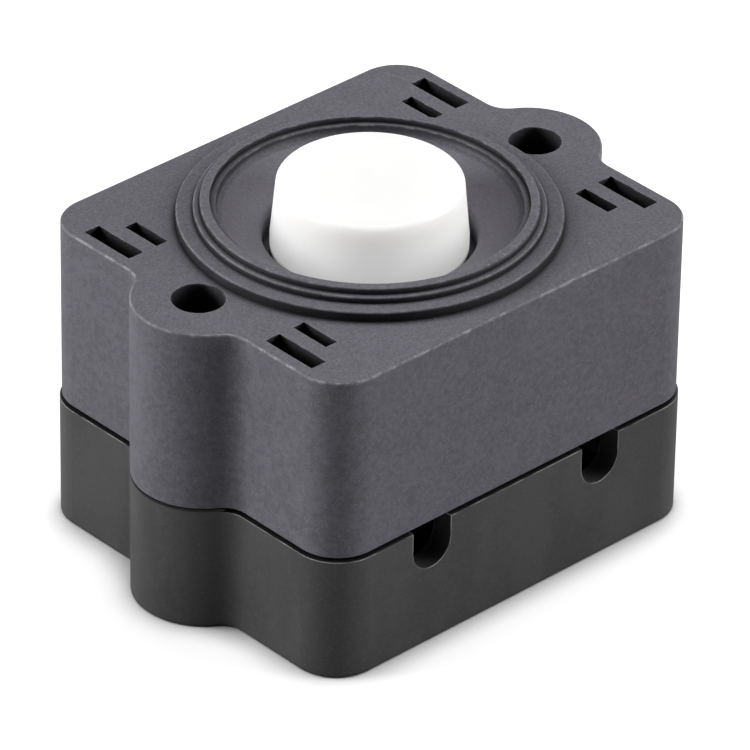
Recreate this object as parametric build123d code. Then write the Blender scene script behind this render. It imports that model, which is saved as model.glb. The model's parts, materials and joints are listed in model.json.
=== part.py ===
from build123d import *
import math
import os

# A pressure switch for a small water pump, in millimetres.
# The origin is on the plunger's axis at the underside of the cover, with +Z up.
# The ears stand out along X, and the two lead notches open towards -Y.

# Outline of the casing, seen from above
half_length = 21.4
half_width = 19.1
corner_radius = 4.0
key_step = 0.6
hole_spacing = 40.0
screw_hole_radius = 2.4
ear_wall = 4.0
ear_shift = 0.6
ear_blend = 2.4
ear_pad_inset = 0.5

# Heights and walls of the casing
body_height = 30.1
cover_height = 12.0
seam_gap = 0.4
ear_seam_gap = 0.12
wall = 2.0
plate_thickness = 2.4
floor_thickness = 2.0
cover_overhang = 0.2
edge_round = 0.2
boss_wall = 2.1

# Tongue of the cover that sits inside the housing's wall
tongue_height = 1.6
tongue_thickness = 0.95
tongue_clearance = 0.1

# Stepped collar and dish round the plunger
collar_radii = (17.0, 15.5, 14.9)
collar_heights = (0.9, 1.45, 2.0)
inner_step_radii = (14.05, 13.5)
inner_step_heights = (1.5, 0.9)
rim_radius = 9.45
rim_depth = 1.4
dish_thickness = 2.1
collar_round = 0.2
lip_round = 0.9
foot_round = 0.45

# Plunger and the bush that guides it
plunger_rise = 4.0
plunger_top_radius = 8.25
plunger_base_radius = 8.76
plunger_top_round = 1.1
plunger_wall = 2.2
plunger_travel = 1.5
flange_radius = 10.6
flange_thickness = 2.0
skirt_length = 7.8
slide_clearance = 0.06
stop_gap = 0.1
key_width = 2.0
key_reach = 0.6
key_clearance = 0.08
bush_wall = 0.7
bush_fit = 0.02
guide_wall = 1.4
guide_length = 8.0

# Latch slots in the plate and the snap arms behind them
latch_slot_length = 5.9
latch_slot_width = 1.66
latch_slot_inset = 2.0
latch_spacing = 23.5
core_slot_length = 4.2
core_slot_width = 1.3
core_slot_inset = 5.0
core_spacing = 21.8
latch_ledge_height = 18.6
arm_width = 4.6
arm_thickness = 1.2
arm_gap = 0.4
barb_reach = 0.9
barb_height = 2.0
barb_tip = 0.25
latch_clearance = 0.1

# Ribs inside the housing
rib_thickness = 1.4
rib_height = 5.0
side_rib_spacing = 12.0

# Lead notches in the cover's side and the ribs that hold the leads
notch_spacing = 20.2
notch_width = 4.45
notch_depth = 4.3
lead_rib_height = 6.5
lead_rib_length = 4.5

# Adjusting screw, its insert and the spring seat
screw_radius = 2.5
screw_length = 6.6
screw_pitch = 0.8
screw_clearance = 0.05
screw_recess = 1.6
socket_size = 2.5
socket_depth = 2.4
insert_wall = 1.5
insert_length = 6.0
insert_fit = 0.02
insert_groove = 0.4
centre_boss_wall = 1.3
key_hole_radius = 3.0
seat_radius = 6.1
seat_thickness = 1.4
seat_spigot_height = 1.8
cap_thickness = 0.8
cap_fit = 0.15

# Pressure spring
spring_wire = 1.7
spring_mean_radius = 5.1
spring_turns = 6.5
spring_seat_gap = 0.05

# Switch block
block_length = 23.0
block_depth = 6.4
block_height = 10.7
block_front = 7.4
case_wall = 1.2
lid_thickness = 1.4
block_edge = 0.4
block_screw_spacing = 6.0
block_screw_height = 2.9
block_screw_radius = 1.0
block_screw_clearance = 0.1
block_head_radius = 1.8
block_head_height = 1.2
block_screw_bite = 1.6
bracket_thickness = 1.9
bracket_height = 5.5
bracket_length = 15.0

# Lever on the block, its pin and the plunger's foot
lever_thickness = 0.6
lever_width = 4.4
lever_overhang = 1.9
lever_rise_angle = 6.1
lever_pin_radius = 0.6
lever_eye_wall = 0.55
pin_clearance = 0.05
hinge_lug_height = 2.4
hinge_lug_thickness = 0.8
hinge_lug_radius = 1.0
foot_radius = 1.0
foot_x = 3.5
foot_y = 8.8
foot_gap = 0.1

# Button on the block
button_offset = 6.0
button_radius = 1.2
button_clearance = 0.06
button_flange_radius = 1.6
button_flange_height = 0.8
button_gap = 0.1

# Contact set inside the block
blade_thickness = 0.25
blade_width = 2.0
blade_level = 6.2
blade_end_gap = 0.3
blade_tip_gap = 1.3
blade_slot_width = 0.5
contact_margin = 0.1
contact_radius = 0.9
contact_height = 0.6
contact_gap = 0.05
terminal_thickness = 0.8
terminal_width = 4.8
terminal_length = 6.4
terminal_level = 3.2
terminal_gap = 0.1
terminal_hole_radius = 0.9
tab_clearance = 0.1
rivet_radius = 0.6
rivet_head_radius = 1.0
rivet_head_height = 0.4
blade_eye_wall = 0.3
blade_side_gap = 0.1

# Places worked out from the sizes above
hole_x = hole_spacing / 2
ear_x = hole_x - ear_shift
ear_radius = screw_hole_radius + ear_wall
boss_radius = screw_hole_radius + boss_wall
housing_low = cover_height + seam_gap
plate_top = body_height
plate_under = plate_top - plate_thickness
rim_level = plate_top - rim_depth
dish_under = rim_level - dish_thickness
bush_radius = flange_radius + slide_clearance
bush_outer_radius = bush_radius + bush_wall
guide_bore = bush_outer_radius + bush_fit
guide_radius = guide_bore + guide_wall
guide_low = dish_under - guide_length
plunger_top = plate_top + plunger_rise
flange_top = dish_under - stop_gap
skirt_low = flange_top - skirt_length
plunger_roof = plunger_top - plunger_wall
spring_cup_radius = spring_mean_radius + spring_wire / 2 + 0.4
insert_radius = screw_radius + screw_clearance + insert_wall
centre_boss_radius = insert_radius + insert_fit + centre_boss_wall
screw_top = screw_recess + screw_length
insert_low = floor_thickness - 0.6
insert_top = insert_low + insert_length
seat_low = screw_top
seat_top = seat_low + seat_thickness
cap_low = plunger_roof - cap_thickness
block_low = floor_thickness
block_top = block_low + block_height
block_back = block_front + block_depth
block_middle = block_front + (block_depth - lid_thickness + case_wall) / 2
case_back = block_back - lid_thickness
case_reach = block_length / 2 - case_wall
lever_pivot_x = hinge_lug_radius - block_length / 2
lever_reach = foot_x - lever_pivot_x + lever_overhang
button_x = lever_pivot_x + button_offset
terminal_offset = case_reach - terminal_width / 2 - terminal_gap
blade_pivot_x = case_reach - rivet_head_radius - blade_end_gap
blade_tip_x = blade_tip_gap - case_reach
contact_x = blade_tip_x + contact_radius + contact_margin
lever_pivot_z = block_top + hinge_lug_height / 2 + 0.3
lever_middle_y = block_front + block_depth / 2
blade_z = block_low + blade_level
blade_pivot_z = blade_z + blade_thickness / 2
tolerance = 0.01


def slab(face, low, high):
    """Solid on a flat outline between two heights."""
    return extrude(Pos(0, 0, low) * face, amount=high - low)


def rod(radius, low, high, x=0.0, y=0.0):
    """Upright cylinder between two heights."""
    return Pos(x, y, low) * Cylinder(radius, high - low, align=(Align.CENTER, Align.CENTER, Align.MIN))


def bar(x, y, z):
    """Box between the two ends given for each direction."""
    size = (x[1] - x[0], y[1] - y[0], z[1] - z[0])
    middle = ((x[0] + x[1]) / 2, (y[0] + y[1]) / 2, (z[0] + z[1]) / 2)
    return Pos(*middle) * Box(*size)


def cross_rod(radius, start, end, x, z):
    """Cylinder that lies along Y between two places."""
    lying = Rot(-90, 0, 0) * Cylinder(radius, end - start, align=(Align.CENTER, Align.CENTER, Align.MIN))
    return Pos(x, start, z) * lying


def turned(points):
    """Solid turned about Z from a profile of (radius, height) points."""
    profile = make_face(Plane.XZ * Polyline(*points, close=True))
    return revolve(profile, Axis.Z)


def outline(grow=0.0, ears=True):
    """Outline of the casing with its straight walls moved outwards by grow."""
    length = half_length + grow
    width = half_width + grow
    shape = Rectangle(2 * length, 2 * width)
    shape += Pos((length + key_step) / 2, -width / 2) * Rectangle(length + key_step, width)
    corners = [v for v in shape.vertices() if abs(abs(v.Y) - width) < tolerance]
    shape = fillet(corners, corner_radius + grow)
    if ears:
        for side in (-1, 1):
            shape += Pos(side * ear_x, 0) * Circle(ear_radius)
        blends = [v for v in shape.vertices() if 1.0 < abs(v.Y) < ear_radius + tolerance]
        shape = fillet(blends, ear_blend)
    return shape


def quarters():
    """The four quarters of the casing as (x side, y side, extra length)."""
    for x_side in (-1, 1):
        for y_side in (-1, 1):
            keyed = x_side == 1 and y_side == -1
            yield x_side, y_side, key_step if keyed else 0.0


def ear_screens():
    """Flat areas that keep clear of the two screw bosses."""
    shapes = [Pos(side * hole_x, 0) * Rectangle(2 * boss_radius + wall, 2 * ear_radius) for side in (-1, 1)]
    return shapes[0] + shapes[1]


def make_upper_housing():
    """Moulded housing: shell, collar, dish, guide tube, ribs and latch slots."""
    body = slab(outline(), housing_low, plate_top)
    top_edges = body.faces().sort_by(Axis.Z)[-1].outer_wire().edges()
    body = fillet(top_edges, edge_round)
    body -= slab(outline(-wall, ears=False), housing_low, plate_under)
    for side in (-1, 1):
        body += rod(boss_radius, housing_low, plate_under, side * hole_x)

    skin = wall - tongue_thickness - tongue_clearance
    rebate = outline(-skin, ears=False) - ear_screens()
    body -= slab(rebate, housing_low, cover_height + tongue_height)

    body += rod(guide_radius, guide_low, plate_under)
    rib_low = plate_under - rib_height
    inside = half_width - wall / 2
    for y_side in (-1, 1):
        for x in (-side_rib_spacing / 2, side_rib_spacing / 2):
            near, far = sorted((y_side * guide_bore, y_side * inside))
            body += bar((x - rib_thickness / 2, x + rib_thickness / 2), (near, far), (rib_low, plate_under))
    for x_side in (-1, 1):
        near, far = sorted((x_side * guide_bore, x_side * (hole_x - screw_hole_radius - boss_wall / 2)))
        body += bar((near, far), (-rib_thickness / 2, rib_thickness / 2), (rib_low, plate_under))

    body += collar()
    body -= rod(guide_bore, guide_low, dish_under)
    body -= dish()
    for side in (-1, 1):
        body -= rod(screw_hole_radius, housing_low, plate_top, side * hole_x)
    for x_side, y_side, extra in quarters():
        latch = Pos(x_side * (half_length + extra - latch_slot_inset), y_side * latch_spacing / 2)
        body -= slab(latch * Rectangle(latch_slot_width, latch_slot_length), latch_ledge_height, plate_top)
        core = Pos(x_side * (half_length + extra - core_slot_inset), y_side * core_spacing / 2)
        body -= slab(core * Rectangle(core_slot_width, core_slot_length), plate_under, plate_top)
    return body


def collar():
    """Three raised steps round the dish."""
    steps = [(radius, plate_top + height) for radius, height in zip(collar_radii, collar_heights)]
    points = [(0.0, plate_under)]
    level = plate_under
    for radius, crest in steps:
        points += [(radius, level), (radius, crest)]
        level = crest
    points.append((0.0, level))
    profile = make_face(Plane.XZ * Polyline(*points, close=True))
    crests = [v for v in profile.vertices() if (round(v.X, 3), round(v.Z, 3)) in
              [(round(radius, 3), round(crest, 3)) for radius, crest in steps]]
    return revolve(fillet(crests, collar_round), Axis.Z)


def dish():
    """The room inside the collar: two steps down, a cone with a rounded foot and lip, the plunger's hole."""
    top = plate_top + collar_heights[-1]
    first, second = (plate_top + height for height in inner_step_heights)
    profile = make_face(Plane.XZ * Polyline(
        (0.0, dish_under),
        (rim_radius, dish_under),
        (rim_radius, rim_level),
        (inner_step_radii[1], second),
        (inner_step_radii[1], first),
        (inner_step_radii[0], first),
        (inner_step_radii[0], top),
        (0.0, top),
        close=True,
    ))
    lip = [v for v in profile.vertices() if abs(v.X - rim_radius) + abs(v.Z - rim_level) < tolerance]
    profile = fillet(lip, lip_round)
    foot = [v for v in profile.vertices() if abs(v.X - inner_step_radii[1]) + abs(v.Z - second) < tolerance]
    return revolve(fillet(foot, foot_round), Axis.Z)


def make_lower_cover():
    """Moulded cover: tray, tongue, screw bosses, notches, snap arms and switch bracket."""
    body = slab(outline(cover_overhang), 0, cover_height)
    body = fillet(body.faces().sort_by(Axis.Z)[0].outer_wire().edges(), edge_round)
    body -= slab(outline(-wall, ears=False), floor_thickness, cover_height)

    tongue = outline(tongue_thickness - wall, ears=False) - outline(-wall, ears=False) - ear_screens()
    body += slab(tongue, cover_height, cover_height + tongue_height)
    pad_level = housing_low - ear_seam_gap
    for side in (-1, 1):
        body += rod(boss_radius, floor_thickness, pad_level, side * hole_x)
        inner = half_length - wall
        band = Pos(side * (inner + ear_radius), 0) * Rectangle(2 * ear_radius, 2 * (ear_radius - ear_pad_inset))
        body += slab(band & outline(), cover_height, pad_level)

    for side in (-1, 1):
        body -= lead_notch(side * notch_spacing / 2)
        for edge in (-1, 1):
            x = side * notch_spacing / 2 + edge * (notch_width / 2 + rib_thickness / 2)
            body += bar((x - rib_thickness / 2, x + rib_thickness / 2),
                        (wall / 2 - half_width, wall + lead_rib_length - half_width),
                        (floor_thickness, floor_thickness + lead_rib_height))

    for x_side, y_side, extra in quarters():
        body += snap_arm(x_side, y_side, extra)

    body += rod(centre_boss_radius, floor_thickness, insert_top)
    for side in (-1, 1):
        body -= tab_space(side * terminal_offset)
    body -= rod(insert_radius + insert_fit, insert_low, insert_top)
    body -= rod(key_hole_radius, 0, insert_low)
    body += bar((-bracket_length / 2, bracket_length / 2), (block_back, block_back + bracket_thickness),
                (floor_thickness, floor_thickness + bracket_height))
    for x in block_screw_places():
        body -= cross_rod(block_screw_radius + bush_fit, block_back, block_back + block_screw_bite, x,
                          block_low + block_screw_height)
    for side in (-1, 1):
        body -= rod(screw_hole_radius, 0, pad_level, side * hole_x)
    return body


def tab_space(x):
    """Room that the boss for the adjusting screw leaves round a terminal tab."""
    half = terminal_width / 2 + tab_clearance
    level = block_low + terminal_level
    return bar((x - half, x + half), (block_front - terminal_length - tab_clearance, block_front),
               (level - tab_clearance, level + terminal_thickness + tab_clearance))


def lead_notch(x):
    """Notch with a round bottom through the cover's side, open at the seam."""
    radius = notch_width / 2
    bottom = cover_height - notch_depth
    top = cover_height + tongue_height
    cut = cross_rod(radius, -half_width - cover_overhang, wall - half_width, x, bottom + radius)
    return cut + bar((x - radius, x + radius), (-half_width - cover_overhang, wall - half_width),
                     (bottom + radius, top))


def snap_arm(x_side, y_side, extra):
    """Arm that rises from the cover's floor and hooks over the housing's ledge."""
    wall_face = half_length + extra - wall
    outer = wall_face - arm_gap
    inner = outer - arm_thickness
    hook = latch_ledge_height + latch_clearance
    points = [
        (inner, floor_thickness),
        (outer, floor_thickness),
        (outer, hook),
        (outer + barb_reach, hook),
        (outer + barb_reach, hook + barb_tip),
        (outer, hook + barb_height),
        (inner, hook + barb_height),
    ]
    profile = make_face(Plane.XZ * Polyline(*[(x_side * x, z) for x, z in points], close=True))
    return Pos(0, y_side * latch_spacing / 2, 0) * extrude(profile, amount=arm_width / 2, both=True)


def make_guide_bush():
    """Split bush in the guide tube; the plunger's skirt slides in it and its key in the split."""
    body = rod(bush_outer_radius, guide_low, dish_under) - rod(bush_radius, guide_low, dish_under)
    half = key_width / 2 + key_clearance
    return body - bar((-half, half), (-bush_outer_radius - bush_fit, 0), (guide_low, dish_under))


def make_plunger():
    """Moulded cup: tapered button, stop flange, keyed skirt and the foot for the lever."""
    profile = make_face(Plane.XZ * Polyline(
        (0.0, plunger_roof),
        (0.0, plunger_top),
        (plunger_top_radius, plunger_top),
        (plunger_base_radius, rim_level),
        (plunger_base_radius, flange_top),
        (flange_radius, flange_top),
        (flange_radius, skirt_low),
        (spring_cup_radius, skirt_low),
        (spring_cup_radius, plunger_roof),
        close=True))
    crown = [v for v in profile.vertices() if v.Z > plunger_top - tolerance and v.X > tolerance]
    body = revolve(fillet(crown, plunger_top_round), Axis.Z)
    half = key_width / 2
    key = bar((-half, half), (-flange_radius - key_reach, -spring_cup_radius - plunger_wall), (skirt_low, flange_top))
    body += key
    tip = lever_top(foot_x) + foot_gap
    body += rod(foot_radius, tip + foot_radius, skirt_low + flange_thickness, foot_x, foot_y)
    body += Pos(foot_x, foot_y, tip + foot_radius) * Sphere(foot_radius)
    return body


def coil(low, high):
    """Closed-end compression spring between two heights."""
    rise = high - low - spring_wire
    path = Helix(pitch=rise / spring_turns, height=rise, radius=spring_mean_radius)
    path = Pos(0, 0, low + spring_wire / 2) * path
    section = Plane(path @ 0, z_dir=path % 0) * Circle(spring_wire / 2)
    return sweep(section, path=path, is_frenet=True)


def make_spring_cap():
    """Steel washer that spreads the spring's load on the plunger."""
    outer = spring_cup_radius - cap_fit
    inner = spring_mean_radius - spring_wire
    return rod(outer, cap_low, plunger_roof) - rod(inner, cap_low, plunger_roof)


def make_spring_seat():
    """Cup that the screw pushes up, with a spigot inside the spring."""
    spigot = spring_mean_radius - spring_wire / 2 - cap_fit
    body = rod(seat_radius, seat_low, seat_top)
    crown = rod(spigot, seat_top, seat_top + seat_spigot_height)
    return body + chamfer(crown.faces().sort_by(Axis.Z)[-1].edges(), cap_fit * 2)


def make_adjusting_screw():
    """Set screw with a hex socket that faces down."""
    body = rod(screw_radius, screw_recess, screw_top)
    body = chamfer(body.edges().filter_by(GeomType.CIRCLE), screw_pitch / 3)
    socket = RegularPolygon(socket_size / math.sqrt(3), 6)
    return body - slab(socket, screw_recess, screw_recess + socket_depth)


def make_threaded_insert():
    """Brass insert with a groove round its middle."""
    body = rod(insert_radius, insert_low, insert_top)
    middle = (insert_low + insert_top) / 2
    band = rod(insert_radius, middle - insert_groove, middle + insert_groove)
    band -= rod(insert_radius - insert_groove, middle - insert_groove, middle + insert_groove)
    return body - band - rod(screw_radius + screw_clearance, insert_low, insert_top)


def block_screw_places():
    """X of the two screws through the switch block."""
    return (-block_screw_spacing / 2, block_screw_spacing / 2)


def block_blank(front, back):
    """Upright slice of the switch block with its long edges broken."""
    body = bar((-block_length / 2, block_length / 2), (front, back), (block_low, block_top))
    return chamfer(body.edges().filter_by(Axis.Y), block_edge)


def hinge_lug(y):
    """Upright lug on the block's top with a round end and a bore for the lever's pin."""
    back = y + hinge_lug_thickness
    lug = bar((lever_pivot_x - hinge_lug_radius, lever_pivot_x + hinge_lug_radius), (y, back),
              (block_top - case_wall, lever_pivot_z))
    lug += cross_rod(hinge_lug_radius, y, back, lever_pivot_x, lever_pivot_z)
    return lug - cross_rod(lever_pin_radius + bush_fit, y, back, lever_pivot_x, lever_pivot_z)


def make_switch_case():
    """Case of the switch block: a tray that opens to the back, with a hinge lug on top."""
    body = block_blank(block_front, case_back)
    room_low = blade_z - 2.4
    body -= bar((case_wall - block_length / 2, block_length / 2 - case_wall), (block_front + case_wall, case_back),
                (room_low, block_top - case_wall))
    for side in (-1, 1):
        body -= terminal_room(side * terminal_offset)
    body -= rod(button_radius + button_clearance, block_top - case_wall, block_top, button_x, block_middle)
    body += hinge_lug(block_front)
    for x in block_screw_places():
        body -= cross_rod(block_screw_radius + block_screw_clearance, block_front, case_back, x,
                          block_low + block_screw_height)
    return body


def terminal_room(x):
    """Slot in the case's front that a terminal tab passes through."""
    half = terminal_width / 2
    level = block_low + terminal_level
    return bar((x - half, x + half), (block_front, block_front + case_wall + terminal_thickness),
               (level, level + terminal_thickness)) + bar(
        (x - half, x + half), (block_front + case_wall, block_front + case_wall + terminal_thickness),
        (level, blade_z))


def make_switch_lid():
    """Lid that closes the switch block's back and carries the second hinge lug."""
    body = block_blank(case_back, block_back) + hinge_lug(block_back - hinge_lug_thickness)
    for x in block_screw_places():
        body -= cross_rod(block_screw_radius + block_screw_clearance, case_back, block_back, x,
                          block_low + block_screw_height)
    return body


def make_block_screws():
    """Two screws through the block and its lid into the cover's bracket."""
    screws = []
    for x in block_screw_places():
        z = block_low + block_screw_height
        screw = cross_rod(block_screw_radius, block_front, block_back + block_screw_bite, x, z)
        head = cross_rod(block_head_radius, block_front - block_head_height, block_front, x, z)
        head -= bar((x - 0.25, x + 0.25), (block_front - block_head_height, block_front - block_head_height / 2),
                    (z - block_head_radius, z + block_head_radius))
        screws.append(screw + head)
    return Compound(children=[solid for screw in screws for solid in screw.solids()])


def lever_top(x):
    """Height of the lever's upper face at x, at rest."""
    angle = math.radians(lever_rise_angle)
    return lever_pivot_z + (x - lever_pivot_x) * math.tan(angle) + lever_thickness / 2 / math.cos(angle)


def make_switch_lever():
    """Flat lever with a rolled eye, raised at rest."""
    low = lever_middle_y - lever_width / 2
    high = low + lever_width
    eye = lever_pin_radius + pin_clearance + lever_eye_wall
    body = bar((0.0, lever_reach), (low, high), (-lever_thickness / 2, lever_thickness / 2))
    body += cross_rod(eye, low, high, 0.0, 0.0)
    body -= cross_rod(lever_pin_radius + pin_clearance, low, high, 0.0, 0.0)
    return Pos(lever_pivot_x, 0, lever_pivot_z) * Rot(0, -lever_rise_angle, 0) * body


def make_lever_pin():
    """Hinge pin of the lever."""
    return cross_rod(lever_pin_radius, block_front, block_back, lever_pivot_x, lever_pivot_z)


def make_switch_button():
    """Button with round ends and a flange that keeps it in the case."""
    angle = math.radians(lever_rise_angle)
    under = lever_top(button_x) - lever_thickness / math.cos(angle)
    top = under - button_gap
    low = blade_z + blade_thickness + contact_gap
    body = rod(button_radius, low, top, button_x, block_middle)
    body = fillet(body.edges().filter_by(GeomType.CIRCLE), button_radius / 2)
    flange_high = block_top - case_wall - stop_gap
    return body + rod(button_flange_radius, flange_high - button_flange_height, flange_high, button_x, block_middle)


def make_contact_blade():
    """Strip with two long windows and a rolled eye that turns on the rivet."""
    front, back = block_middle - blade_width / 2, block_middle + blade_width / 2
    level = (blade_z, blade_z + blade_thickness)
    body = bar((blade_tip_x, blade_pivot_x), (front, back), level)
    for side in (-1, 1):
        y = block_middle + side * blade_width / 5
        body -= bar((blade_tip_x + blade_width, blade_pivot_x - blade_width),
                    (y - blade_slot_width / 2, y + blade_slot_width / 2), level)
    bore = rivet_radius + pin_clearance
    body += cross_rod(bore + blade_eye_wall, front, back, blade_pivot_x, blade_pivot_z)
    return body - cross_rod(bore, front, back, blade_pivot_x, blade_pivot_z)


def make_moving_contact():
    """Silver contact on the blade's tip."""
    low = blade_z + blade_thickness
    body = rod(contact_radius, low, low + contact_height, contact_x, block_middle)
    return fillet(body.faces().sort_by(Axis.Z)[-1].edges(), contact_height / 3)


def make_fixed_contact():
    """Silver contact above the blade's tip."""
    low = blade_z + blade_thickness + contact_height + contact_gap
    body = rod(contact_radius, low, low + contact_height, contact_x, block_middle)
    return fillet(body.faces().sort_by(Axis.Z)[0].edges(), contact_height / 3)


def terminal_tab(x):
    """Tab that leaves the block's front, with the hole of a push-on connector."""
    half = terminal_width / 2
    level = block_low + terminal_level
    tab = bar((x - half, x + half), (block_front - terminal_length, block_front + case_wall + terminal_thickness),
              (level, level + terminal_thickness))
    tip = tab.edges().filter_by(Axis.Z).group_by(Axis.Y)[0]
    tab = chamfer(tip, terminal_width / 6)
    return tab - rod(terminal_hole_radius, level, level + terminal_thickness, x,
                     block_front - terminal_length * 0.7)


def make_common_terminal():
    """Tab bent up inside the block into a plate that carries the blade's rivet."""
    level = block_low + terminal_level
    half = terminal_width / 2
    inner = block_front + case_wall
    body = terminal_tab(terminal_offset)
    body += bar((terminal_offset - half, terminal_offset + half), (inner, inner + terminal_thickness),
                (level, blade_pivot_z + rivet_head_radius))
    return body - cross_rod(rivet_radius + bush_fit, inner, inner + terminal_thickness, blade_pivot_x, blade_pivot_z)


def make_closed_terminal():
    """Tab bent up beside the blade to carry the fixed contact above its tip."""
    level = block_low + terminal_level
    half = terminal_width / 2
    inner = block_front + case_wall
    top = blade_z + blade_thickness + 2 * contact_height + contact_gap
    body = terminal_tab(-terminal_offset)
    body += bar((-terminal_offset - half, -terminal_offset + half), (inner, inner + terminal_thickness),
                (level, blade_z))
    across = (contact_x - contact_radius, contact_x + contact_radius)
    body += bar(across, (inner, inner + terminal_thickness), (blade_z, top + terminal_thickness))
    return body + bar(across, (inner, block_middle + contact_radius), (top, top + terminal_thickness))


def make_blade_rivet():
    """Rivet that stands out of the common terminal and carries the blade's eye."""
    inner = block_front + case_wall
    shoulder = block_middle + blade_width / 2 + blade_side_gap
    body = cross_rod(rivet_radius, inner, shoulder, blade_pivot_x, blade_pivot_z)
    return body + cross_rod(rivet_head_radius, shoulder, shoulder + rivet_head_height, blade_pivot_x, blade_pivot_z)


pieces = {
    "upper_housing": make_upper_housing(),
    "lower_cover": make_lower_cover(),
    "guide_bush": make_guide_bush(),
    "plunger": make_plunger(),
    "spring_cap": make_spring_cap(),
    "pressure_spring": coil(seat_top + spring_seat_gap, cap_low - spring_seat_gap),
    "spring_seat": make_spring_seat(),
    "adjusting_screw": make_adjusting_screw(),
    "threaded_insert": make_threaded_insert(),
    "switch_case": make_switch_case(),
    "switch_lid": make_switch_lid(),
    "block_screws": make_block_screws(),
    "switch_lever": make_switch_lever(),
    "lever_pin": make_lever_pin(),
    "switch_button": make_switch_button(),
    "contact_blade": make_contact_blade(),
    "moving_contact": make_moving_contact(),
    "fixed_contact": make_fixed_contact(),
    "common_terminal": make_common_terminal(),
    "closed_terminal": make_closed_terminal(),
    "blade_rivet": make_blade_rivet(),
}

os.makedirs("parts", exist_ok=True)
for name, solid in pieces.items():
    export_step(solid, f"parts/{name}.step")
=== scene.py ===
"""Looks of a pump pressure switch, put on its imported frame.

Every length is in metres, in the frame's own axes: the plunger moves along Z, the screw ears
stand out along X, and the lead notches open towards -Y.
"""
import json
import logging
import math
from dataclasses import dataclass
from enum import Enum

import bmesh
import bpy
from mathutils import Matrix, Vector


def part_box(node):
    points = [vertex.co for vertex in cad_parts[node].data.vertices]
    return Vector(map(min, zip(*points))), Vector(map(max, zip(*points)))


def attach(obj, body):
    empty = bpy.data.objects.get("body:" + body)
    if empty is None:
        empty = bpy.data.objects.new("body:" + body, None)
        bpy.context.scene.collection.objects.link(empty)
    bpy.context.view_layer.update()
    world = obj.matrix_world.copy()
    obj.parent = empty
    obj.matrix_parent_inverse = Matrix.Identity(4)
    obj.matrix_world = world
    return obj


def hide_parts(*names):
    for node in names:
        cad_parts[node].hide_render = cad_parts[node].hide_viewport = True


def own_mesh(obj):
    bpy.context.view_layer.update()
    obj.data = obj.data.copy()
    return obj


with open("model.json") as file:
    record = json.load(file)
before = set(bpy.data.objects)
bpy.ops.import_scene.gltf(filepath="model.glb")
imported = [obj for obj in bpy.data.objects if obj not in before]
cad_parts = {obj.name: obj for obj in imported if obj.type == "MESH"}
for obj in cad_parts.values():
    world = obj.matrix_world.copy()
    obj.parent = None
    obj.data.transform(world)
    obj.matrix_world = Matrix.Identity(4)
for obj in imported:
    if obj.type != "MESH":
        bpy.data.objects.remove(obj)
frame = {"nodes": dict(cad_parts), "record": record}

log = logging.getLogger("pressure_switch")

Colour = tuple[float, float, float]
Span = tuple[float, float]
Socket = bpy.types.NodeSocket

WHOLE: Span = (0.0, 1.0)
MIDDLE: Span = (0.3, 0.7)  # where most values of a noise lie
UP = (0.0, 0.0, 1.0)
ORIGIN = (0.0, 0.0, 0.0)
FULL_TURN = 2.0 * math.pi
CUT_SLACK = 1e-8


class Place(Enum):
    """A length that marks on a moulding are placed by."""

    HEIGHT = "Z"
    RADIUS = "R"


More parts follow.
